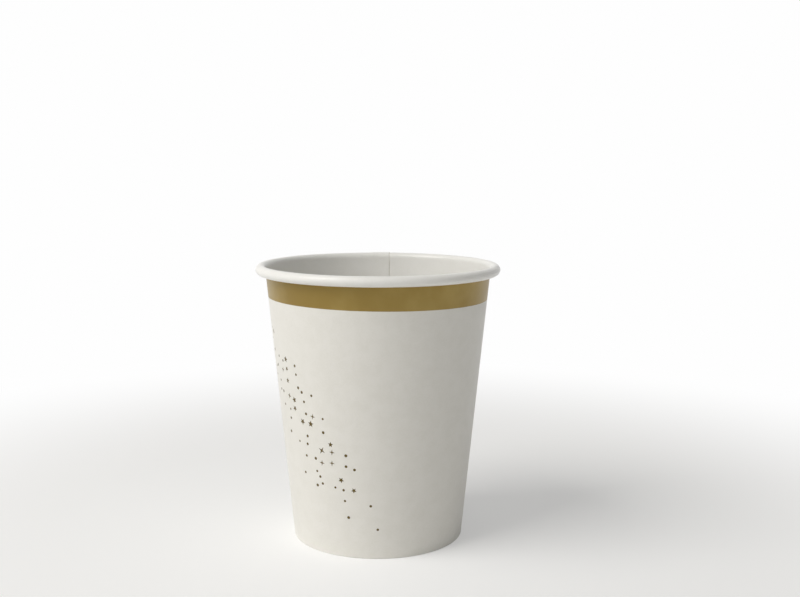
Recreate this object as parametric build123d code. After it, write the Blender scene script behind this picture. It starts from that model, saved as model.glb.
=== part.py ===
from build123d import *
from math import asin, atan2, cos, degrees, hypot, radians, sin, tan
import os

# Paper cup for hot and cold drinks, brim up, standing on its foot.
# Millimetres, +Z up, origin at the centre of the foot on the standing plane.

# Overall size
cup_height = 90.5
rim_diameter = 80.0
foot_diameter = 56.0

# Paperboard
wall_board = 0.33
bottom_board = 0.28
glue_gap = 0.02

# Rolled brim: the wall curls outwards and down into a hollow scroll of one turn
roll_diameter = 3.5
curl_gap = 0.05
curl_facets = 6
tuck_facets = 4

# Foot: the wall is folded inwards and up over the skirt of the bottom
hem_height = 6.0
fold_bevel = 0.20
bottom_recess = 7.0
bottom_bevel = 0.15
skirt_clearance = 0.10

# Knurled crimps that press the hem onto the skirt
crimp_count = 48
crimp_depth = 0.10
crimp_width = 1.2
crimp_inset = 0.9

# Side seam at the back, where one end of the wall lies over the other
lap_width = 7.0
lap_step = 0.26
lap_rise = 1.5
lap_swell = 0.12

# Worked out from the sizes above
rim_radius = rim_diameter / 2
foot_radius = foot_diameter / 2
roll_radius = roll_diameter / 2
roll_centre = Vector(rim_radius - roll_radius, cup_height - roll_radius)
lap_angle = degrees(lap_width / rim_radius)

# Taper: the printed face runs from the edge of the foot and meets the roll smoothly
across = roll_centre.X - foot_radius
roll_reach = asin((roll_radius - wall_board) / hypot(across, roll_centre.Y))
taper = atan2(across, roll_centre.Y) - roll_reach

# Depths inside the printed face at the foot: wall, glue, skirt, glue, hem
skirt_outside = wall_board + glue_gap
skirt_inside = skirt_outside + bottom_board
hem_outside = skirt_inside + glue_gap
hem_inside = hem_outside + wall_board


def beside_wall(depth, height):
    """Point at a height, so far inside the printed face of the wall."""
    return Vector(foot_radius + height * tan(taper) - depth / cos(taper), height)


def curl_point(turned_by, depth):
    """Point of the scroll, so many degrees over from the wall and deep in its board."""
    tighter = (wall_board + curl_gap) * max(0, turned_by - 180) / 180
    angle = radians(180 - turned_by)
    return roll_centre + Vector(cos(angle), sin(angle)) * (roll_radius - tighter - depth)


def side(start, end):
    """Straight side of a section, as a spline near the hem's height to keep facets few."""
    rise = abs(end.Y - start.Y)
    return Bezier(start, end) if hem_height / 2 < rise < 2 * hem_height else Line(start, end)


def polygon(points):
    """Flat face inside a closed outline of straight sides."""
    corners = [Vector(*point) for point in points]
    return make_face([side(a, b) for a, b in zip(corners, [*corners[1:], corners[0]])])


def turned(section, arc=360.0):
    """Solid turned about the cup's axis from a section of radius and height."""
    return revolve(Plane.XZ * section, Axis.Z, arc)


def curl_turns():
    """Angles of the scroll's facets: over to the brim's outer edge, then tucked under."""
    over = [180 * i / curl_facets for i in range(1, curl_facets + 1)]
    tucked = [180 + 180 * i / tuck_facets for i in range(1, tuck_facets + 1)]
    return [degrees(taper), *over, *tucked]


def wall_section():
    """Section of the wall blank: hem, fold of the foot, taper and rolled brim."""
    bevel = Vector(fold_bevel, 0)
    printed_side = [
        beside_wall(hem_inside, hem_height),
        beside_wall(hem_inside, fold_bevel),
        beside_wall(hem_inside, 0) + bevel,
        beside_wall(0, 0) - bevel,
        beside_wall(0, fold_bevel),
        *[curl_point(turn, wall_board) for turn in curl_turns()],
    ]
    coated_side = [
        beside_wall(hem_outside, hem_height),
        beside_wall(hem_outside, wall_board),
        beside_wall(wall_board, wall_board),
        *[curl_point(turn, 0) for turn in curl_turns()],
    ]
    return polygon([*printed_side, *reversed(coated_side)])


def lap_section():
    """Section of the end that lies over the other, pressed thin at the foot."""
    sunk = wall_board / 2
    top = roll_centre.Y - wall_board
    return polygon([
        beside_wall(sunk, fold_bevel),
        beside_wall(0, fold_bevel),
        beside_wall(-lap_step, fold_bevel + lap_rise),
        beside_wall(-lap_step, top),
        beside_wall(sunk, top),
    ])


def swell_section():
    """Section of the doubled board over the roll, which lifts the brim a little."""
    turns = [turn for turn in curl_turns() if turn <= 180]
    outside = [curl_point(turn, -lap_swell * sin(radians(turn))) for turn in turns]
    inside = [curl_point(turn, 2 * wall_board) for turn in reversed(turns)]
    return polygon([*outside, *inside])


def hem_crimps():
    """Row of upright notches pressed into the face of the hem under the cup."""
    bottom = beside_wall(hem_inside, crimp_inset)
    top = beside_wall(hem_inside, hem_height - crimp_inset)
    up_hem = top - bottom
    plane = Plane(origin=(bottom.X, 0, bottom.Y), x_dir=(0, 1, 0),
                  z_dir=(up_hem.X, 0, up_hem.Y))
    notch = polygon([
        (-crimp_width, crimp_depth),
        (0, -crimp_depth),
        (crimp_width, crimp_depth),
    ])
    tool = extrude(plane * notch, up_hem.length)
    return [Rot(0, 0, 360 * i / crimp_count) * tool for i in range(crimp_count)]


def side_wall():
    """The wall blank: one sheet with its side seam, rolled brim and hemmed foot."""
    seam_section = wall_section() + lap_section() + swell_section()
    seam = Rot(0, 0, 90 - lap_angle / 2) * turned(seam_section, lap_angle)
    rest = Rot(0, 0, 90 + lap_angle / 2) * turned(wall_section(), 360 - lap_angle)
    return seam.fuse(rest).cut(*hem_crimps())


def bottom_disc():
    """Bottom pressed from its own sheet: a flat disc with a skirt turned down."""
    floor = bottom_recess + bottom_board
    skirt_end = wall_board + skirt_clearance
    return turned(polygon([
        (0, bottom_recess),
        beside_wall(skirt_inside, bottom_recess),
        beside_wall(skirt_inside, skirt_end),
        beside_wall(skirt_outside, skirt_end),
        beside_wall(skirt_outside, floor - bottom_bevel),
        beside_wall(skirt_outside, floor) - Vector(bottom_bevel, 0),
        (0, floor),
    ]))


os.makedirs("parts", exist_ok=True)
export_step(side_wall(), "parts/side_wall.step")
export_step(bottom_disc(), "parts/bottom_disc.step")
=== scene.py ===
"""Looks of a paper drinking cup: formed board, printed outside and studio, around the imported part.

Metres, +Z up, origin at the centre of the foot on the standing plane. The front of the cup
faces -Y and its side seam is at +Y, at the back.
"""

from __future__ import annotations

import logging
import math
from dataclasses import dataclass, field
from enum import Enum

import bmesh
import bpy
import numpy as np
from bpy.types import ID, Material, Mesh, Node, NodeSocket, Object, World, bpy_prop_collection
from mathutils import Matrix, Vector


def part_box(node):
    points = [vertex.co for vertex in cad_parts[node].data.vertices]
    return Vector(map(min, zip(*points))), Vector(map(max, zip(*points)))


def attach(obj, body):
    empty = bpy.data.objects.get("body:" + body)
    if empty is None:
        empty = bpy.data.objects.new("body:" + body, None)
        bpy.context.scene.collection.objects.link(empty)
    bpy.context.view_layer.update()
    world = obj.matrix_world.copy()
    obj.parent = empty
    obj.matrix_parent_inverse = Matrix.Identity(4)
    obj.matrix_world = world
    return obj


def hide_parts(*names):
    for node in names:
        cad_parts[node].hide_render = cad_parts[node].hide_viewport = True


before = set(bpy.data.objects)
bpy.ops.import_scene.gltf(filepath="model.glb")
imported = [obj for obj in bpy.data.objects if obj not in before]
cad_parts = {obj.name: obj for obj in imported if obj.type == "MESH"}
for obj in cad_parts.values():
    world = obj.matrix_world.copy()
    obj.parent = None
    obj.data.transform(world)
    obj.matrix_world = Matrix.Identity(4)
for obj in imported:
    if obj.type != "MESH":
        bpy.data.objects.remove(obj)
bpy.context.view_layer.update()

log = logging.getLogger("paper_cup")

MM = 0.001
SEED = 41

Colour = tuple[float, float, float, float]


def tone(*display: int) -> Colour:
    """Colour of a surface as a screen shows it.

    Args:
        *display: Red, green and blue from 0 to 255.

    Returns:
        The linear colour that Blender's sockets take.
    """
    shares = [value / 255 for value in display]
    linear = [v / 12.92 if v <= 0.04045 else ((v + 0.055) / 1.055) ** 2.4 for v in shares]
    return (*linear, 1.0)


def smooth_step(low: float, high: float, value: np.ndarray) -> np.ndarray:
    """Soft rise from 0 to 1 as the value goes from low to high, which may be the lower one."""
    share = np.clip((value - low) / (high - low), 0, 1)
    return share * share * (3 - 2 * share)


def linked(name: str, data: ID) -> Object:
    """Makes an object.

    Args:
        name: Its name.
        data: Its mesh, lamp or camera.

    Returns:
        The object, linked to the scene.
    """
    made = bpy.data.objects.new(name, data)
    bpy.context.scene.collection.objects.link(made)
    return made


@dataclass(frozen=True)
class CupSizes:
    """Sizes of the cup that the board's two pieces share.

    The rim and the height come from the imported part, and the rest repeats its sizes.
    """

    rim_radius: float
    height: float
    foot_radius: float = 28.0 * MM
    wall_board: float = 0.33 * MM
    bottom_board: float = 0.28 * MM
    glue_gap: float = 0.02 * MM
    roll_radius: float = 1.75 * MM
    curl_gap: float = 0.05 * MM
    hem_height: float = 6.0 * MM
    bottom_recess: float = 7.0 * MM
    skirt_clearance: float = 0.10 * MM
    lap_width: float = 7.0 * MM
    lap_step: float = 0.26 * MM
    lap_swell: float = 0.12 * MM

    @classmethod
    def from_frame(cls) -> CupSizes:
        """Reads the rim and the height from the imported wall."""
        low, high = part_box("side_wall")
        return cls(rim_radius=(high.x - low.x) / 2, height=high.z - cls.lap_swell)

    @property
    def roll_centre(self) -> np.ndarray:
        """Radius and height of the middle of the rolled brim."""
        return np.array([self.rim_radius, self.height]) - self.roll_radius

    @property
    def taper(self) -> float:
        """Lean of the wall, at which it meets the roll smoothly.

        Returns:
            The angle from upright.
        """
        across, up = self.roll_centre - (self.foot_radius, 0)
        reach = math.asin((self.roll_radius - self.wall_board) / math.hypot(across, up))
        return math.atan2(across, up) - reach

    @property
    def lap_angle(self) -> float:
        """Angle round the cup over which the two ends of the wall lie on each other."""
        return self.lap_width / self.rim_radius

    @property
    def skirt_outside(self) -> float:
        """Depth of the skirt's outer face inside the printed face."""
        return self.wall_board + self.glue_gap

    @property
    def skirt_inside(self) -> float:
        """Depth of the skirt's inner face."""
        return self.skirt_outside + self.bottom_board

    @property
    def hem_outside(self) -> float:
        """Depth of the hem's face that is sealed to the skirt."""
        return self.skirt_inside + self.glue_gap

    @property
    def hem_inside(self) -> float:
        """Depth of the hem's bare face."""
        return self.hem_outside + self.wall_board

    def beside_wall(self, depth: float, height: float) -> np.ndarray:
        """Radius and height of a point so deep inside the printed face."""
        lean = self.taper
        return np.array([self.foot_radius + height * math.tan(lean) - depth / math.cos(lean), height])


class Side(Enum):
    """Surfaces of a formed sheet of board, in the order of its material slots."""

    OUTER = 0
    COATED = 1
    CUT = 2


@dataclass
class SheetLine:
    """Line of a formed sheet in section, from its first edge to its last.

    Attributes:
        stations: Each one's radius and height on the coated face, the direction from there to
            the outer face, and the degrees by which the sheet has curled over.
    """

    stations: list[tuple[np.ndarray, np.ndarray, float]] = field(default_factory=list)

    def add(self, coated: np.ndarray, facing: np.ndarray, curled: float = 0.0) -> None:
        """Adds one station to the line."""
        self.stations.append((coated, facing, curled))

    def bend(self, centre: np.ndarray, radius: float, start: float, end: float, steps: int,
             outwards: bool) -> None:
        """Adds a round bend.

        Args:
            centre: Radius and height of the bend's centre.
            radius: Radius of the coated face in the bend.
            start: Angle of its first station in degrees, from level outwards to upright.
            end: Angle of its last station.
            steps: Number of stretches between the stations.
            outwards: True if the outer face lies on the far side of the centre.
        """
        for angle in np.radians(np.linspace(start, end, steps + 1)):
            ray = np.array([math.cos(angle), math.sin(angle)])
            self.add(centre + ray * radius, ray if outwards else -ray)

    def arrays(self) -> list[np.ndarray]:
        """The stations' coated points, facings and curls, each as one array."""
        return [np.array(values, float) for values in zip(*self.stations)]

    def face(self, by: np.ndarray, around: np.ndarray) -> np.ndarray:
        """Points of one face of the sheet in space.

        Args:
            by: How far it lies from the plain coated face, by row and column.
            around: Angles of the columns round the cup, 0 at the front.

        Returns:
            X, Y and Z by row and column.
        """
        coated, facing, _ = self.arrays()
        place = coated[:, None, :] + by[..., None] * facing[:, None, :]
        radius, height = place[..., 0], place[..., 1]
        return np.stack([radius * np.sin(around), -radius * np.cos(around), height], -1)

    def lengths(self, board: float) -> np.ndarray:
        """Distances along the middle of the sheet.

        Args:
            board: Thickness of the sheet.

        Returns:
            The distance from the first edge to each station.
        """
        coated, facing, _ = self.arrays()
        steps = np.linalg.norm(np.diff(coated + facing * board / 2, axis=0), axis=1)
        return np.concatenate([[0.0], np.cumsum(steps)])


class SheetMesh:
    """Collects the points, faces and maps of one formed sheet and makes its mesh."""

    LAYOUT = "Blank"
    BAKE = "OFBake"
    SHARP = math.radians(40)
    WELD = 0.0005 * MM

    def __init__(self, name: str) -> None:
        """Starts an empty mesh.

        Args:
            name: Name of the mesh and of its object.
        """
        self.name = name
        self.points: list[np.ndarray] = []
        self.faces: list[np.ndarray] = []
        self.sides: list[np.ndarray] = []
        self.layout: list[np.ndarray] = []
        self.bake: list[np.ndarray] = []
        self.count = 0

    def grid(self, points: np.ndarray, layout: np.ndarray, patch: tuple[float, float], side: Side,
             flip: bool, closed: bool = False) -> None:
        """Adds a face for each cell of a grid of points.

        Args:
            points: Points by row and column, rows along the section and columns round the cup.
            layout: Places of the same points on the flat blank.
            patch: First and last height of the part that it fills on the map for the bake.
            side: Side of the sheet that the faces belong to.
            flip: True to turn the faces over.
            closed: True if the last column is the first one again.
        """
        rows, columns = points.shape[:2]
        number = self.count + np.arange(rows * columns).reshape(rows, columns)
        self.points.append(points.reshape(-1, 3))
        self.count += rows * columns
        if closed:
            number = np.concatenate([number[:, :-1], number[:, :1]], axis=1)
        across = np.linspace(0, 1, columns)[None, :].repeat(rows, 0)
        along = np.linspace(*patch, rows)[:, None].repeat(columns, 1)
        first, second = slice(None, -1), slice(1, None)
        corners = [(first, first), (first, second), (second, second), (second, first)]
        if flip:
            corners.reverse()
        self.faces.append(np.stack([number[corner].ravel() for corner in corners], 1))
        for kept, values in ((self.layout, layout), (self.bake, np.stack([across, along], -1))):
            cells = [values[corner].reshape(-1, 2) for corner in corners]
            kept.append(np.stack(cells, 1).reshape(-1, 2))
        self.sides.append(np.full((rows - 1) * (columns - 1), side.value))

    def build(self) -> Object:
        """Makes the object, joins its seams and marks its sharp edges.

        Returns:
            The new object, linked to the scene.
        """
        mesh = bpy.data.meshes.new(self.name)
        mesh.from_pydata(np.concatenate(self.points).tolist(), [], np.concatenate(self.faces).tolist())
        mesh.polygons.foreach_set("material_index", np.concatenate(self.sides).astype(np.int32))
        for name, values in ((self.LAYOUT, self.layout), (self.BAKE, self.bake)):
            layer = mesh.uv_layers.new(name=name)
            layer.data.foreach_set("uv", np.concatenate(values).astype(np.float32).ravel())
        mesh.uv_layers[self.LAYOUT].active_render = True
        self.weld(mesh)
        mesh.shade_smooth()
        mesh.set_sharp_from_angle(angle=self.SHARP)
        return linked(self.name, mesh)

    @classmethod
    def weld(cls, mesh: Mesh) -> None:
        """Joins points that lie together and drops faces of no width.

        Args:
            mesh: The mesh, which is changed in place.
        """
        work = bmesh.new()
        work.from_mesh(mesh)
        bmesh.ops.remove_doubles(work, verts=work.verts, dist=cls.WELD)
        bmesh.ops.dissolve_degenerate(work, edges=work.edges, dist=cls.WELD)
        work.to_mesh(mesh)
        work.free()


@dataclass(frozen=True)
class FlatBlank:
    """The wall's blank before it is wound: a fan whose middle is the cone's tip."""

    sizes: CupSizes

    @property
    def foot_reach(self) -> float:
        """Distance from the cone's tip to the foot, along the printed face."""
        return self.sizes.foot_radius / math.sin(self.sizes.taper)

    @property
    def turn(self) -> float:
        """Turn on the flat fan for each turn round the cup."""
        return math.sin(self.sizes.taper)

    def height(self, x: Signal, y: Signal) -> Signal:
        """Height on the cup of a place on the blank."""
        return (x.hypot(y) - self.foot_reach) * math.cos(self.sizes.taper)

    def places(self, reach: np.ndarray, around: np.ndarray) -> np.ndarray:
        """X and Y on the blank by row and column, from reaches along it and angles round the cup."""
        angle = around[None, :] * self.turn
        return np.stack([reach[:, None] * np.sin(angle), reach[:, None] * np.cos(angle)], -1)


@dataclass
class SideWall:
    """The wall: one blank with lapped ends, a rolled brim and a folded, crimped foot.

    Attributes:
        HEM_HEIGHTS: Heights of its stations in millimetres, as WALL_HEIGHTS.
        IN_PITCH: Columns in the pitch of a crimp, as shares of crimp_reach.
        WAVES: Waves in a turn round the wall, each with its share.
        RIPPLES: Waves in a turn round the brim.
        crimp_reach: Half the width of a crimp, as a share of the pitch.
        telegraph: How deep the crimps show on the printed face.
        ledge: How far the wall stands out round the bottom that is seated in it.
        lap_level: Height from which the lap sinks towards the roll. It has sunk at lap_top.
        edge_ramp: Width over which the wall climbs onto the end under it.
        edge_groove: Width of the groove beside the raw edge on top.
        wave_slant: Most that a wave leans, in radians for each metre up.
    """

    HEM_HEIGHTS = (4.0, 3.0, 2.0)
    WALL_HEIGHTS = (
        0.8, 1.25, 1.7, 3.0, 4.5, 5.3, 6.0, 6.6, 7.15, 7.7, 8.4, 9.5,
        *np.linspace(12.0, 85.0, 16), 85.8, 86.4, 87.0, 87.6, 88.2,
    )
    IN_PITCH = (-1, -0.5, 0, 0.5, 1, 1.97, 2.94, 3.91)
    WAVES = ((2, 0.5), (5, 0.3), (9, 0.2))
    RIPPLES = (3, 7, 12, 19)

    sizes: CupSizes
    fold_radius: float = 0.36 * MM
    fold_steps: int = 6
    crimp_count: int = 48
    crimp_depth: float = 0.10 * MM
    crimp_reach: float = 0.17
    crimp_inset: float = 0.9 * MM
    crimp_fade: float = 0.35 * MM
    telegraph: float = 0.020 * MM
    ledge: float = 0.040 * MM
    ledge_width: float = 0.9 * MM
    lap_foot: float = 0.2 * MM
    lap_rise: float = 1.5 * MM
    lap_level: float = 86.9 * MM
    lap_top: float = 88.2 * MM
    lap_glue: float = 0.008 * MM
    edge_ramp: float = 0.4 * MM
    edge_groove: float = 0.07 * MM
    column_gap: float = 0.12
    wave: float = 0.035 * MM
    wave_slant: float = 30.0
    wave_foot: tuple[float, float] = (12 * MM, 32 * MM)
    wave_top: tuple[float, float] = (86 * MM, 74 * MM)
    brim_wave: float = 0.03 * MM
    curl_steps: int = 44

    def line(self) -> SheetLine:
        """Section of the wall from the raw edge of the hem to the end of the curl.

        Returns:
            The stations of the section.
        """
        size, lean = self.sizes, math.degrees(self.sizes.taper)
        out = np.array([math.cos(size.taper), -math.sin(size.taper)])
        line = SheetLine()
        top, inset, fade = size.hem_height, self.crimp_inset, self.crimp_fade
        crimp_ends = [top - inset + fade, top - inset, top - inset - fade]
        foot_ends = [inset + fade, inset, inset - fade]
        middle = [height * MM for height in self.HEM_HEIGHTS]
        for height in [top, *crimp_ends, *middle, *foot_ends]:
            line.add(size.beside_wall(size.hem_outside, height), -out)
        inner = self.fold_radius - size.wall_board
        hem_side = size.beside_wall(size.hem_inside - self.fold_radius, self.fold_radius)
        wall_side = size.beside_wall(self.fold_radius, self.fold_radius)
        line.bend(hem_side, inner, 180 - lean, 270, self.fold_steps, outwards=True)
        line.bend(wall_side, inner, 270, 360 - lean, self.fold_steps, outwards=True)
        for height in self.WALL_HEIGHTS:
            line.add(size.beside_wall(size.wall_board, height * MM), out)
        for curled in np.linspace(lean, 360, self.curl_steps + 1):
            angle = math.radians(180 - curled)
            ray = np.array([math.cos(angle), math.sin(angle)])
            tighter = (size.wall_board + size.curl_gap) * max(0.0, curled - 180) / 180
            line.add(size.roll_centre + ray * (size.roll_radius - tighter), -ray, curled)
        return line

    def columns(self) -> np.ndarray:
        """Angles round the cup from one end of the blank to the other.

        Returns:
            The angles, with 0 at the front, closer together at the crimps and at the lap's edges.
        """
        half = self.sizes.lap_angle / 2
        start, end = -math.pi - half, math.pi + half
        pitch = 2 * math.pi / self.crimp_count
        in_pitch = np.array(self.IN_PITCH) * self.crimp_reach
        pitches = np.arange(-self.crimp_count // 2 - 2, self.crimp_count // 2 + 3)
        regular = (pitches[:, None] + in_pitch[None, :]).ravel() * pitch
        ramp = self.edge_ramp / self.sizes.rim_radius
        rise = end - self.sizes.lap_angle - ramp * np.array([0, 0.25, 0.5, 0.75, 1.0])
        groove = self.edge_groove / self.sizes.rim_radius
        under = start + self.sizes.lap_angle + groove * np.array([0, 0.33, 0.67, 1.0])
        special = np.concatenate([[start, end], rise, under])
        clear = np.abs(regular[:, None] - special[None, :]).min(1) > self.column_gap * ramp
        inside = (regular > start) & (regular < end)
        return np.sort(np.concatenate([regular[clear & inside], special]))

    def crimps(self, around: np.ndarray, height: np.ndarray) -> np.ndarray:
        """Share of the full crimp.

        Args:
            around: Angles of the columns.
            height: Heights of the rows.

        Returns:
            The share by row and column.
        """
        phase = around * self.crimp_count / (2 * math.pi)
        beside = np.abs(phase - np.round(phase)) / self.crimp_reach
        groove = 0.5 + 0.5 * np.cos(np.pi * np.clip(beside, 0, 1))
        low, high = self.crimp_inset, self.sizes.hem_height - self.crimp_inset
        fade = self.crimp_fade
        window = smooth_step(low - fade, low + fade, height)
        window = window * smooth_step(high + fade, high - fade, height)
        return window[:, None] * groove[None, :]

    def offsets(self, line: SheetLine, around: np.ndarray) -> tuple[np.ndarray, np.ndarray]:
        """How far each face lies from the plain sheet, towards the print.

        Args:
            line: Section of the wall.
            around: Angles of the columns.

        Returns:
            Offsets of the coated face and of the outer face, by row and column.
        """
        size = self.sizes
        coated, facing, curled = line.arrays()
        height = coated[:, 1]
        # The hem faces inwards, the fold down, and the curl has its own angle
        on_hem = (facing[:, 0] < 0) & (curled == 0)
        on_wall = ~on_hem & (curled == 0) & (facing[:, 1] > -0.5)
        half, ramp = size.lap_angle / 2, self.edge_ramp / size.rim_radius
        groove = self.edge_groove / size.rim_radius
        ridge = np.where(curled > 0, np.sin(np.radians(np.clip(curled, 0, 180))), 0)
        lift = smooth_step(self.lap_foot, self.lap_rise + self.lap_foot, height)
        lift = np.where(on_wall, lift * smooth_step(self.lap_top, self.lap_level, height), 0)
        meet = size.wall_board * (0.5 + 0.5 * lift)
        ledge = np.exp(-(((height - size.bottom_recess) / self.ledge_width) ** 2)) * on_wall * self.ledge
        over = smooth_step(math.pi - half - ramp, math.pi - half, around)[None, :]
        under = smooth_step(-math.pi + half + groove, -math.pi + half, around)[None, :]
        swelling = smooth_step(-math.pi + half + 2 * ramp, -math.pi + half - 2 * ramp, around)[None, :]
        swell = (ridge * size.lap_swell)[:, None]
        coated_by = over * (meet + self.lap_glue + ledge)[:, None] - swell * swelling
        outer_by = size.wall_board + ledge[:, None] + over * ((lift * size.lap_step)[:, None] + swell)
        outer_by -= under * (size.wall_board - meet)[:, None]
        pressed = self.crimps(around, height)
        outer_by -= pressed * (on_hem * self.crimp_depth + on_wall * self.telegraph)[:, None]
        drift = self.drift(around, height) * on_wall[:, None]
        ripple = self.ripple(around)[None, :] * (smooth_step(40, 100, curled) * self.brim_wave)[:, None]
        return coated_by + drift + ripple, outer_by + drift + ripple

    def drift(self, around: np.ndarray, height: np.ndarray) -> np.ndarray:
        """Slight waviness of the wound wall, fading out at the foot and under the brim.

        Args:
            around: Angles of the columns.
            height: Heights of the rows.

        Returns:
            How far the wall stands out, by row and column.
        """
        draw = np.random.default_rng(SEED)
        window = smooth_step(*self.wave_foot, height) * smooth_step(*self.wave_top, height)
        across, up, slant = around[None, :], height[:, None], self.wave_slant
        waves = sum(
            share * np.sin(turns * across + draw.uniform(0, 6) + up * draw.uniform(-slant, slant))
            for turns, share in self.WAVES
        )
        return window[:, None] * waves * self.wave

    def ripple(self, around: np.ndarray) -> np.ndarray:
        """Unevenness of the roll round the brim, always inwards.

        Args:
            around: Angles of the columns.

        Returns:
            A share from 0 to 1 by column.
        """
        draw = np.random.default_rng(SEED + 1)
        waves = sum(np.sin(turns * around + draw.uniform(0, 2 * math.pi)) for turns in self.RIPPLES)
        return 0.5 + waves / (2 * len(self.RIPPLES))

    def build(self) -> Object:
        """Makes the wall's mesh.

        Returns:
            The wall as one closed sheet of board.
        """
        blank, line, around = FlatBlank(self.sizes), self.line(), self.columns()
        _, facing, _ = line.arrays()
        lengths = line.lengths(self.sizes.wall_board)
        foot = int(np.argmax(facing[:, 0] > 0.9))
        layout = blank.places(blank.foot_reach + lengths - lengths[foot], around)
        sheet = SheetMesh("side_wall_board")
        inner, outer = (line.face(by, around) for by in self.offsets(line, around))
        sheet.grid(outer, layout, (0.0, 0.60), Side.OUTER, flip=False)
        sheet.grid(inner, layout, (0.61, 0.955), Side.COATED, flip=True)
        edges = (
            (np.s_[0], inner, outer), (np.s_[-1], outer, inner),
            (np.s_[:, 0], outer, inner), (np.s_[:, -1], inner, outer),
        )
        for i, (edge, first, second) in enumerate(edges):
            points, places = np.stack([first[edge], second[edge]]), np.stack([layout[edge]] * 2)
            sheet.grid(points, places, (0.96 + 0.01 * i, 0.967 + 0.01 * i), Side.CUT, flip=False)
        return sheet.build()


@dataclass
class BottomDisc:
    """The bottom: a flat disc pressed from its own board, with a skirt turned down.

    Attributes:
        FLOOR_SHARES: Rings of the floor, as shares of its radius.
        SKIRT_HEIGHTS: Heights of the skirt's stations in millimetres.
        crease_start: Share of the radius from which the edge is pleated.
    """

    FLOOR_SHARES = (0.0, 0.04, 0.15, 0.3, 0.5, 0.7, 0.85, 0.95)
    SKIRT_HEIGHTS = (5.5, 4.0, 2.5, 1.0)

    sizes: CupSizes
    corner_radius: float = 0.40 * MM
    corner_steps: int = 8
    crease_start: float = 0.93
    columns: int = 240
    pleats: int = 96
    pleat_depth: float = 0.012 * MM

    def line(self) -> SheetLine:
        """Section of the bottom from its middle to the end of the skirt.

        Returns:
            The stations of the section.
        """
        size, lean = self.sizes, math.degrees(self.sizes.taper)
        floor = size.bottom_recess + size.bottom_board
        corner = size.beside_wall(size.skirt_outside + self.corner_radius, floor - self.corner_radius)
        line = SheetLine()
        for share in self.FLOOR_SHARES:
            line.add(np.array([corner[0] * share, floor]), np.array([0.0, -1.0]))
        line.bend(corner, self.corner_radius, 90, -lean, self.corner_steps, outwards=False)
        into = np.array([-math.cos(size.taper), math.sin(size.taper)])
        skirt = [height * MM for height in self.SKIRT_HEIGHTS]
        for height in [*skirt, size.wall_board + size.skirt_clearance]:
            line.add(size.beside_wall(size.skirt_outside, height), into)
        return line

    def build(self) -> Object:
        """Makes the bottom's mesh.

        Returns:
            The bottom as one closed sheet of board.
        """
        board, line = self.sizes.bottom_board, self.line()
        coated, _, _ = line.arrays()
        around = np.linspace(-math.pi, math.pi, self.columns + 1)
        along = line.lengths(board)
        layout = np.stack([along[:, None] * np.sin(around), along[:, None] * np.cos(around)], -1)
        creased = smooth_step(self.crease_start, 1.0, coated[:, 0] / coated[:, 0].max())[:, None]
        pleat = creased * (0.5 + 0.5 * np.cos(self.pleats * around))[None, :] * self.pleat_depth
        top, under = (line.face(by, around) for by in (pleat, np.full_like(pleat, board)))
        sheet = SheetMesh("bottom_board_disc")
        sheet.grid(under, layout, (0.0, 0.46), Side.OUTER, flip=True, closed=True)
        sheet.grid(top, layout, (0.48, 0.96), Side.COATED, flip=False, closed=True)
        edge, rim = np.stack([top[-1], under[-1]]), layout[-1:].repeat(2, 0)
        sheet.grid(edge, rim, (0.97, 1.0), Side.CUT, flip=False, closed=True)
        return sheet.build()


class Graph:
    """The nodes of one material or world, with one way to add any of them."""

    def __init__(self, owner: Material | World, ending: str) -> None:
        """Clears the owner's nodes.

        Args:
            owner: The material or world.
            ending: Blender's name for the type of its output node.
        """
        owner.use_nodes = True
        self.owner = owner
        self.tree = owner.node_tree
        self.tree.nodes.clear()
        self.ending = ending

    def node(self, kind: str, settings: dict | None = None, **sockets: object) -> Node:
        """Adds a node.

        Args:
            kind: Blender's name for the node's type.
            settings: Its settings, which are set first.
            **sockets: Values or links of its sockets by identifier, with _ for a space.

        Returns:
            The new node.
        """
        made = self.tree.nodes.new(kind)
        for name, value in (settings or {}).items():
            setattr(made, name, value)
        for name, value in sockets.items():
            self.feed(self.find(made.inputs, name), value)
        return made

    @staticmethod
    def find(sockets: bpy_prop_collection, name: str) -> NodeSocket:
        """Finds a socket by identifier or name.

        Args:
            sockets: The sockets of one side of a node.
            name: The identifier or name, with _ for a space.

        Returns:
            The first socket that fits.
        """
        for socket in sockets:
            if name in {word.replace(" ", "_") for word in (socket.identifier, socket.name)}:
                return socket
        raise KeyError(f"no socket {name}: {[s.identifier for s in sockets]}")

    def feed(self, socket: NodeSocket, value: object) -> None:
        """Sets or links a socket.

        Args:
            socket: The socket to feed.
            value: Its value, or the socket or signal that it is linked to.
        """
        if isinstance(value, Signal):
            value = value.socket
        if isinstance(value, NodeSocket):
            self.tree.links.new(value, socket)
        else:
            socket.default_value = value

    def signal(self, kind: str, result: str, settings: dict | None = None, **sockets: object) -> Signal:
        """Adds a node and wraps one of its outputs."""
        return Signal(self, self.find(self.node(kind, settings, **sockets).outputs, result))

    def mix(self, share: Signal, first: Node, second: Node) -> Node:
        """Shader between two, by a share of the second."""
        ends = {"Shader": first.outputs[0], "Shader_001": second.outputs[0]}
        return self.node("ShaderNodeMixShader", Fac=share, **ends)

    def backdrop_rays(self) -> Signal:
        """Tells which rays show the plain backdrop, to the camera or in gloss or glass.

        Returns:
            1 for those rays and 0 for others.
        """
        rays = self.node("ShaderNodeLightPath").outputs
        camera, glossy, glass = (
            Signal(self, rays[f"Is {kind} Ray"]) for kind in ("Camera", "Glossy", "Transmission")
        )
        return camera.most(glossy).most(glass)

    def finish(self, shader: Node) -> Material | World:
        """Shows the shader and returns the owner."""
        self.node(self.ending, Surface=shader.outputs[0])
        return self.owner


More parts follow.
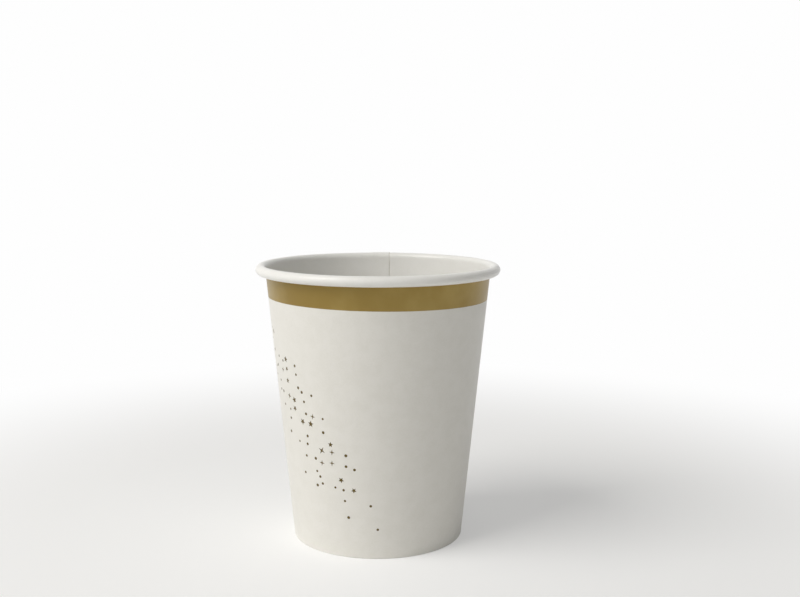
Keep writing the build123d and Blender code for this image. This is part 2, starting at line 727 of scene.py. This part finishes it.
class Signal:
    """A socket whose value changes over the surface. Python's operators add Math nodes."""

    def __init__(self, graph: Graph, socket: NodeSocket) -> None:
        """Wraps one output socket."""
        self.graph = graph
        self.socket = socket

    def math(self, operation: str, *values: object) -> Signal:
        """Adds a Math node on those values."""
        inputs = dict(zip(("Value", "Value_001", "Value_002"), values))
        return self.graph.signal("ShaderNodeMath", "Value", {"operation": operation}, **inputs)

    def vector(self, operation: str, *values: object, result: str = "Vector", **more: object) -> Signal:
        """Adds a Vector Math node on those values."""
        inputs = dict(zip(("Vector", "Vector_001"), values), **more)
        return self.graph.signal("ShaderNodeVectorMath", result, {"operation": operation}, **inputs)

    def __add__(self, other: object) -> Signal:
        """Sum."""
        return self.math("ADD", self, other)

    __radd__ = __add__

    def __mul__(self, other: object) -> Signal:
        """Product."""
        return self.math("MULTIPLY", self, other)

    __rmul__ = __mul__

    def __sub__(self, other: object) -> Signal:
        """Difference."""
        return self.math("SUBTRACT", self, other)

    def __rsub__(self, other: object) -> Signal:
        """Difference from a value."""
        return self.math("SUBTRACT", other, self)

    def __truediv__(self, other: object) -> Signal:
        """Quotient."""
        return self.math("DIVIDE", self, other)

    def __rtruediv__(self, other: object) -> Signal:
        """Quotient of a value and this."""
        return self.math("DIVIDE", other, self)

    def __abs__(self) -> Signal:
        """The same without its sign."""
        return self.math("ABSOLUTE", self)

    def __lt__(self, other: object) -> Signal:
        """1 where it is less."""
        return self.math("LESS_THAN", self, other)

    def __gt__(self, other: object) -> Signal:
        """1 where it is more."""
        return self.math("GREATER_THAN", self, other)

    def rise(self, low: float, high: float, start: float = 0.0, end: float = 1.0) -> Signal:
        """Soft change from start to end as the value goes from low to high."""
        ends = {"From_Min": low, "From_Max": high, "To_Min": start, "To_Max": end}
        return self.graph.signal(
            "ShaderNodeMapRange", "Result", {"interpolation_type": "SMOOTHSTEP"}, Value=self, **ends)

    def most(self, other: object) -> Signal:
        """The larger of the two."""
        return self.math("MAXIMUM", self, other)

    def hypot(self, other: Signal) -> Signal:
        """Length of the line whose parts along two axes these are."""
        return self.math("SQRT", self * self + other * other)

    def split(self) -> list[Signal]:
        """The three numbers of a vector or colour."""
        parts = self.graph.node("ShaderNodeSeparateXYZ", Vector=self).outputs
        return [Signal(self.graph, part) for part in parts]


class Surface:
    """What every finish of the cup is made with: places, patterns and a shader."""

    def __init__(self, name: str) -> None:
        """Starts the material and its places."""
        self.graph = Graph(bpy.data.materials.new(name), "ShaderNodeOutputMaterial")
        self.place = self.graph.signal("ShaderNodeTexCoord", "Object")

    def noise(self, size: float, detail: float = 4.0, roughness: float = 0.55,
              where: Signal | None = None) -> Signal:
        """Even noise round 0.5, with its largest spots of that size in metres."""
        grain = {"Scale": 1 / size, "Detail": detail, "Roughness": roughness}
        return self.graph.signal("ShaderNodeTexNoise", "Fac", Vector=where or self.place, **grain)

    def stretched(self, *factors: float) -> Signal:
        """Places scaled along X, Y and Z."""
        return self.place.vector("MULTIPLY", self.place, factors)

    def blend(self, first: object, second: object, share: Signal) -> Signal:
        """Colour between two, by a share of the second."""
        ends = {"A_Color": first, "B_Color": second}
        return self.graph.signal(
            "ShaderNodeMix", "Result_Color", {"data_type": "RGBA"}, Factor_Float=share, **ends)

    def bump(self, height: Signal, depth: float) -> Signal:
        """Normal of a fine relief, so many metres deep where its height is 1."""
        return self.graph.signal("ShaderNodeBump", "Normal", Distance=depth, Height=height)

    def shader(self, **sockets: object) -> Material:
        """Ends the material with a Principled shader that has these sockets."""
        return self.graph.finish(self.graph.node("ShaderNodeBsdfPrincipled", **sockets))


class Motif(Enum):
    """Small printed shapes, as points round the shape and how deep the valleys are cut."""

    STAR = (5, 0.46)
    SPARKLE = (4, 0.27)
    DOT = (1, 1.0)


@dataclass(frozen=True)
class StarPrint:
    """The print: a metallic band under the brim, and drifts of stars, sparkles and dots below it.

    Attributes:
        cell: Room of each small shape on the blank.
        scatter: How far the shapes leave their even rows, from 0 to 1.
        smallest: Share of the radius that the smallest have. The largest have growth more.
        star_turn: Turn between the stars of different size, in radians, as sparkle_tilt.
        star_share: Chance of a star in a drift. That of a star or sparkle is bright_share.
        bright_room: Least room beside a star or sparkle, as a share of a sparkle's radius.
        drift_slope: Turn of a drift round the cup, in radians for each metre down.
        drift_core: Part of a drift's width in which it is full.
        drift_fade: Heights over its upper end between which it fades out.
        thin: Chance of a shape at its lower end, to which full is added higher up.
    """

    blank: FlatBlank
    band_bottom: float = 79.4 * MM
    band_blur: float = 0.05 * MM
    band_skew: float = 0.012
    cell: float = 3.8 * MM
    scatter: float = 0.78
    star_radius: float = 1.05 * MM
    sparkle_radius: float = 1.25 * MM
    dot_radius: float = 0.45 * MM
    ink_blur: float = 0.03 * MM
    smallest: float = 0.8
    growth: float = 0.3
    star_turn: float = 40.0
    sparkle_tilt: float = 0.5
    star_share: float = 0.30
    bright_share: float = 0.50
    bright_room: float = 0.9
    dot_room: float = 1.2
    drifts: int = 2
    drift_start: float = math.radians(-77)
    drift_slope: float = 19.0
    drift_top: float = 72.0 * MM
    drift_end: float = 8.0 * MM
    drift_width: float = 14.0 * MM
    drift_core: float = 0.45
    drift_thinning: float = 22 * MM
    drift_fade: tuple[float, float] = (5 * MM, -12 * MM)
    thin: float = 0.28
    full: float = 0.62
    band_margin: float = 2 * MM

    def edge_distance(self, motif: Motif, reach: Signal, angle: Signal, radius: object) -> Signal:
        """Distance outside a pointed shape.

        Args:
            motif: Which shape.
            reach: Distance from the shape's middle.
            angle: Angle round the shape's middle.
            radius: Distance from the middle to a tip.

        Returns:
            How far outside the shape's edge each place is, below 0 inside.
        """
        if motif is Motif.DOT:
            return reach - radius
        points, valley = motif.value
        half = math.pi / points
        across, down = valley * math.sin(half), 1 - valley * math.cos(half)
        side = math.hypot(across, down)
        from_tip = angle.math("PINGPONG", angle, half)
        along = reach * from_tip.math("COSINE", from_tip) - radius
        beside = reach * from_tip.math("SINE", from_tip)
        return along * (across / side) + beside * (down / side)

    def band(self, height: Signal, beside: Signal) -> Signal:
        """Share of the metallic band, which lies a little askew on the blank."""
        level = height + beside * self.band_skew
        return level.rise(self.band_bottom - self.band_blur, self.band_bottom + self.band_blur)

    def motifs(self, flat: Signal) -> Signal:
        """Share of ink of the small shapes.

        Args:
            flat: Places on the flat blank.

        Returns:
            1 inside a shape and 0 outside.
        """
        graph = flat.graph
        cells, rooms = (
            graph.node(
                "ShaderNodeTexVoronoi", {"voronoi_dimensions": "2D", "feature": feature},
                Vector=flat, Scale=1 / self.cell, Randomness=self.scatter,
            ).outputs
            for feature in ("F1", "N_SPHERE_RADIUS")
        )
        middle, chance = Signal(graph, cells["Position"]), Signal(graph, cells["Color"])
        room = self.cell * Signal(graph, rooms["Radius"])
        x, y, _ = flat.vector("SUBTRACT", flat, middle).split()
        pick, fill, size = chance.split()
        reach, angle = x.hypot(y), x.math("ARCTAN2", y, x)
        core, presence = self.density(middle)
        grown = size * self.growth + self.smallest
        star, sparkle, dot = (
            self.edge_distance(motif, reach, turned, grown * radius).rise(self.ink_blur, -self.ink_blur)
            for motif, turned, radius in (
                (Motif.STAR, angle + size * self.star_turn, self.star_radius),
                (Motif.SPARKLE, angle + size * self.sparkle_tilt, self.sparkle_radius),
                (Motif.DOT, angle, self.dot_radius),
            )
        )
        roomy = room > self.bright_room * self.sparkle_radius
        is_star = (pick < core * self.star_share) * roomy
        is_bright = (pick < core * self.bright_share) * roomy
        shape = is_star * star + (is_bright - is_star) * sparkle + (1 - is_bright) * dot
        return shape * (fill < presence) * (room > self.dot_room * self.dot_radius)

    def density(self, middle: Signal) -> tuple[Signal, Signal]:
        """How full the print is round a shape's middle.

        Args:
            middle: Place of the shape's middle on the blank.

        Returns:
            Nearness to the middle of a drift, and the chance that a shape is printed.
        """
        size = self.blank.sizes
        x, y, _ = middle.split()
        around, height = x.math("ARCTAN2", x, y) / self.blank.turn, self.blank.height(x, y)
        line = (self.drift_top - height) * self.drift_slope + self.drift_start
        spacing = 2 * math.pi / self.drifts
        away = around.math("WRAP", around - line, spacing / 2, -spacing / 2)
        beside = abs(away) * (size.foot_radius + height * math.tan(size.taper))
        core = beside.rise(self.drift_width, self.drift_core * self.drift_width)
        low = height.rise(self.drift_end, self.drift_end + self.drift_thinning)
        high = height.rise(*(self.drift_top + beyond for beyond in self.drift_fade))
        below_band = height < self.band_bottom - self.band_margin
        above_foot = height > self.drift_end
        presence = core * (low * self.full + self.thin) * high * below_band * above_foot
        return core * low, presence


@dataclass(frozen=True)
class PrintedBoard:
    """Outer face of the wall: smooth white board with the print on it."""

    sizes: CupSizes
    white: Colour = tone(234, 232, 226)
    shade: Colour = tone(230, 228, 221)
    gold: Colour = tone(160, 137, 77)
    # Gold of the darker vertical streaks, which are painted reflection of the metallic ink
    painted_reflection_gold: Colour = tone(147, 123, 63)
    motif_ink: Colour = tone(100, 84, 42)
    fibre: float = 0.5 * MM
    cloud: float = 4.0 * MM
    streak: float = 14.0 * MM
    edge_wander: float = 0.10 * MM
    relief: float = 0.010 * MM

    def material(self) -> Material:
        """Makes the finish.

        Returns:
            The material.
        """
        surface = Surface("printed_board")
        blank = FlatBlank(self.sizes)
        design = StarPrint(blank)
        flat = surface.graph.signal("ShaderNodeUVMap", "UV", {"uv_map": SheetMesh.LAYOUT})
        x, y, _ = flat.split()
        beside, _, _ = surface.place.split()
        fibres = surface.noise(self.fibre, detail=3.0)
        clouds = surface.noise(self.cloud, detail=5.0, roughness=0.6)
        # Vertical streaks: they vary the ink's roughness, and in the gold's colour they are painted
        # reflection
        upright = surface.stretched(1.0, 1.0, 0.6)
        streaks = surface.noise(self.streak, detail=3.0, roughness=0.5, where=upright)
        band = design.band(blank.height(x, y) + (clouds - 0.5) * self.edge_wander, beside)
        marks = design.motifs(flat)
        ink = band.most(marks)
        white = surface.blend(self.white, self.shade, (clouds * 0.7 + fibres * 0.3).rise(0.35, 0.7))
        # Lighter and darker vertical streaks in the gold are painted reflection, standing in for the soft
        # vertical reflections of the metallic ink
        painted_reflection_streaks = (streaks * 0.8 + clouds * 0.2).rise(0.36, 0.62)
        gold = surface.blend(self.gold, self.painted_reflection_gold, painted_reflection_streaks)
        return surface.shader(
            Base_Color=surface.blend(surface.blend(white, gold, band), self.motif_ink, marks),
            Metallic=ink * 0.35,
            Roughness=0.50 + (fibres - 0.5) * 0.08 + ink * ((streaks - 0.5) * 0.16 - 0.14),
            Normal=surface.bump(fibres * 0.5 + clouds * 0.5, self.relief),
            Coat_Weight=0.12 - ink * 0.12, Coat_Roughness=0.30, Specular_IOR_Level=0.28,
        )


@dataclass(frozen=True)
class CoatedBoard:
    """Inner face, brim and top of the bottom: white board under a thin, satin plastic coat."""

    white: Colour = tone(240, 239, 235)
    shade: Colour = tone(237, 236, 231)
    fibre: float = 0.6 * MM
    cloud: float = 3.5 * MM
    crease: float = 0.9 * MM
    crease_ring: float = 40 * MM
    brim_rise: tuple[float, float] = (86.6 * MM, 88.6 * MM)
    relief: float = 0.010 * MM

    def material(self) -> Material:
        """Makes the finish.

        Returns:
            The material.
        """
        surface = Surface("coated_board")
        fibres = surface.noise(self.fibre, detail=3.0)
        clouds = surface.noise(self.cloud, detail=5.0)
        level = surface.stretched(1.0, 1.0, 0.0)
        around = level.vector("SCALE", level.vector("NORMALIZE", level), Scale=self.crease_ring)
        creases = surface.noise(self.crease, detail=2.0, where=around)
        _, _, height = surface.place.split()
        relief = fibres * 0.5 + clouds * 0.5 + creases * height.rise(*self.brim_rise) * 2.5
        shaded = (clouds * 0.6 + fibres * 0.4).rise(0.35, 0.7)
        return surface.shader(
            Base_Color=surface.blend(self.white, self.shade, shaded),
            Roughness=0.34 + (clouds - 0.5) * 0.12 + (fibres - 0.5) * 0.08,
            Normal=surface.bump(relief, self.relief),
            Coat_Weight=0.15, Coat_Roughness=0.25, Specular_IOR_Level=0.4,
        )


@dataclass(frozen=True)
class CutEdge:
    """Raw edges of the board, where its layers show."""

    light: Colour = tone(224, 216, 198)
    dark: Colour = tone(198, 187, 164)
    layer: float = 0.25 * MM
    relief: float = 0.03 * MM

    def material(self) -> Material:
        """Makes the finish.

        Returns:
            The material.
        """
        surface = Surface("cut_edge")
        layers = surface.noise(self.layer, roughness=0.7)
        return surface.shader(
            Base_Color=surface.blend(self.light, self.dark, layers.rise(0.35, 0.7)),
            Roughness=layers * 0.15 + 0.75, Normal=surface.bump(layers, self.relief),
            Specular_IOR_Level=0.3,
        )


@dataclass(frozen=True)
class BareBoard:
    """Underside of the bottom: board with no coat, where the fibres show."""

    white: Colour = tone(233, 229, 220)
    shade: Colour = tone(228, 223, 213)
    fleck: Colour = tone(206, 198, 181)
    fibre: float = 0.7 * MM
    cloud: float = 3.0 * MM
    relief: float = 0.020 * MM

    def material(self) -> Material:
        """Makes the finish.

        Returns:
            The material.
        """
        surface = Surface("bare_board")
        grain = surface.stretched(1.0, 2.2, 1.0)
        fibres = surface.noise(self.fibre, detail=6.0, roughness=0.65, where=grain)
        clouds = surface.noise(self.cloud, detail=5.0, roughness=0.6)
        base = surface.blend(self.white, self.shade, (clouds * 0.6 + fibres * 0.4).rise(0.35, 0.68))
        return surface.shader(
            Base_Color=surface.blend(base, self.fleck, fibres.rise(0.68, 0.78, 0.0, 0.5)),
            Roughness=fibres * 0.12 + 0.74, Normal=surface.bump(fibres * 1.4 + clouds, self.relief),
            Specular_IOR_Level=0.3,
        )


@dataclass(frozen=True)
class Lamp:
    """A square soft lamp that faces the middle of the cup, in metres and watts."""

    name: str
    place: tuple[float, float, float]
    size: float
    power: float
    colour: Colour


@dataclass(frozen=True)
class Studio:
    """Pale floor, white surroundings and soft lamps at a plain level.

    Attributes:
        shadow_radius: How far from the cup the floor is matt board. It is white at white_radius.
        least_white: Share of that white beside the cup.
        shaded_share: Share of the soft light that comes from the right.
        eye: Place of the camera, from the middle of the brim.
        pitch: Degrees by which it looks down.
    """

    LAMPS = (
        Lamp("key_lamp", (-1.05, -0.55, 1.3), 1.1, 20.0, tone(255, 253, 250)),
        Lamp("fill_lamp", (0.7, -1.0, 0.5), 0.8, 0.5, tone(250, 252, 255)),
    )

    sizes: CupSizes
    floor_radius: float = 3.0
    shadow_radius: float = 0.11
    white_radius: float = 0.30
    least_white: float = 0.30
    world_level: float = 0.43
    shaded_share: float = 0.40
    white: Colour = tone(254, 254, 254)
    board: Colour = tone(251, 251, 250)
    daylight: Colour = tone(252, 251, 248)
    lens: float = 49.5
    eye: tuple[float, float, float] = (7.2 * MM, -359.3 * MM, 36.7 * MM)
    pitch: float = 7.67
    roll: float = 0.003

    def floor(self) -> Object:
        """Makes the floor, which turns to plain white away from the cup.

        Returns:
            The floor, linked to the scene.
        """
        rings, count = (0.1, 0.5, self.floor_radius), 48
        turns = np.linspace(0, 2 * math.pi, count + 1)[:-1]
        points = [(r * math.cos(a), r * math.sin(a), 0.0) for r in rings for a in turns]
        faces = [tuple(range(count))]
        for ring in range(len(rings) - 1):
            low, high = ring * count, (ring + 1) * count
            steps = [(i, (i + 1) % count) for i in range(count)]
            faces += [(low + i, high + i, high + j, low + j) for i, j in steps]
        mesh = bpy.data.meshes.new("floor")
        mesh.from_pydata(points, [], faces)
        mesh.materials.append(self.floor_finish())
        return linked("floor", mesh)

    def floor_finish(self) -> Material:
        """Matt white by the cup, and the white of the backdrop further out.

        Returns:
            The floor's material.
        """
        surface = Surface("studio_floor")
        graph = surface.graph
        matt = graph.node(
            "ShaderNodeBsdfPrincipled", Base_Color=self.board, Roughness=0.9, Specular_IOR_Level=0.2
        )
        white = graph.node("ShaderNodeEmission", Color=self.white, Strength=1.0)
        away = surface.place.vector("LENGTH", surface.place, result="Value")
        share = away.rise(self.shadow_radius, self.white_radius, self.least_white)
        return graph.finish(graph.mix(share * graph.backdrop_rays(), matt, white))

    def world(self) -> None:
        """Soft white light, weaker from the right, and a plain white backdrop where it is seen."""
        graph = Graph(bpy.data.worlds.new("studio"), "ShaderNodeOutputWorld")
        seen = graph.backdrop_rays()
        side, _, _ = graph.signal("ShaderNodeTexCoord", "Generated").split()
        level = side.rise(-0.9, 0.9, self.world_level, self.world_level * self.shaded_share)
        light = graph.node("ShaderNodeBackground", Color=self.daylight, Strength=level)
        plain = graph.node("ShaderNodeBackground", Color=self.white, Strength=1.0)
        bpy.context.scene.world = graph.finish(graph.mix(seen, light, plain))

    def light(self, lamp: Lamp) -> None:
        """Adds a lamp.

        Args:
            lamp: What it is and where it stands.
        """
        data = bpy.data.lights.new(lamp.name, "AREA")
        data.size = lamp.size
        data.energy = lamp.power
        data.color = lamp.colour[:3]
        made = linked(lamp.name, data)
        made.location = lamp.place
        aim = Vector((0, 0, self.sizes.height / 2)) - Vector(lamp.place)
        made.rotation_mode = "QUATERNION"
        made.rotation_quaternion = aim.to_track_quat("-Z", "Y")

    def camera(self) -> None:
        """Looks at the cup as the photograph does, with the same lens and framing."""
        data = bpy.data.cameras.new("camera")
        data.sensor_width = 36.0
        data.lens = self.lens
        data.clip_start, data.clip_end = 0.01, 20.0
        made = linked("camera", data)
        right, back, above = self.eye
        eye = Vector((right, back, self.sizes.height + above))
        turn = Matrix.Rotation(math.radians(90 - self.pitch), 4, "X") @ Matrix.Rotation(self.roll, 4, "Z")
        made.matrix_world = Matrix.Translation(eye) @ turn
        bpy.context.scene.camera = made

    def build(self) -> None:
        """Sets up floor, light and camera."""
        self.floor()
        self.world()
        for lamp in self.LAMPS:
            self.light(lamp)
        self.camera()
        bpy.context.scene.view_settings.view_transform = "Standard"


@dataclass
class Cup:
    """The whole cup: both boards built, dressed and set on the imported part."""

    sizes: CupSizes

    def build(self) -> None:
        """Builds and dresses the wall and the bottom, which share two of the finishes."""
        finishes = (PrintedBoard(self.sizes), CoatedBoard(), CutEdge(), BareBoard())
        printed, coated, cut, bare = (finish.material() for finish in finishes)
        wall, bottom = SideWall(self.sizes), BottomDisc(self.sizes)
        self.place(wall.build(), [printed, coated, cut], "side_wall", "wall_board")
        self.place(bottom.build(), [bare, coated, cut], "bottom_disc", "bottom_board")

    @staticmethod
    def place(piece: Object, finishes: list[Material], node: str, slot: str) -> None:
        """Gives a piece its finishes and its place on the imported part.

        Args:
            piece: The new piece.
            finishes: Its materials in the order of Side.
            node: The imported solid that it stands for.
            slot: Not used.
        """
        for finish in finishes:
            piece.data.materials.append(finish)
        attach(piece, "root")
        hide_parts(node)
        log.info("%s: %d faces, stands for %s", piece.name, len(piece.data.polygons), node)


def main() -> None:
    """Builds the cup and its studio."""
    logging.basicConfig(level=logging.INFO, format="%(message)s")
    sizes = CupSizes.from_frame()
    Cup(sizes).build()
    Studio(sizes).build()


if __name__ == "__main__":
    main()
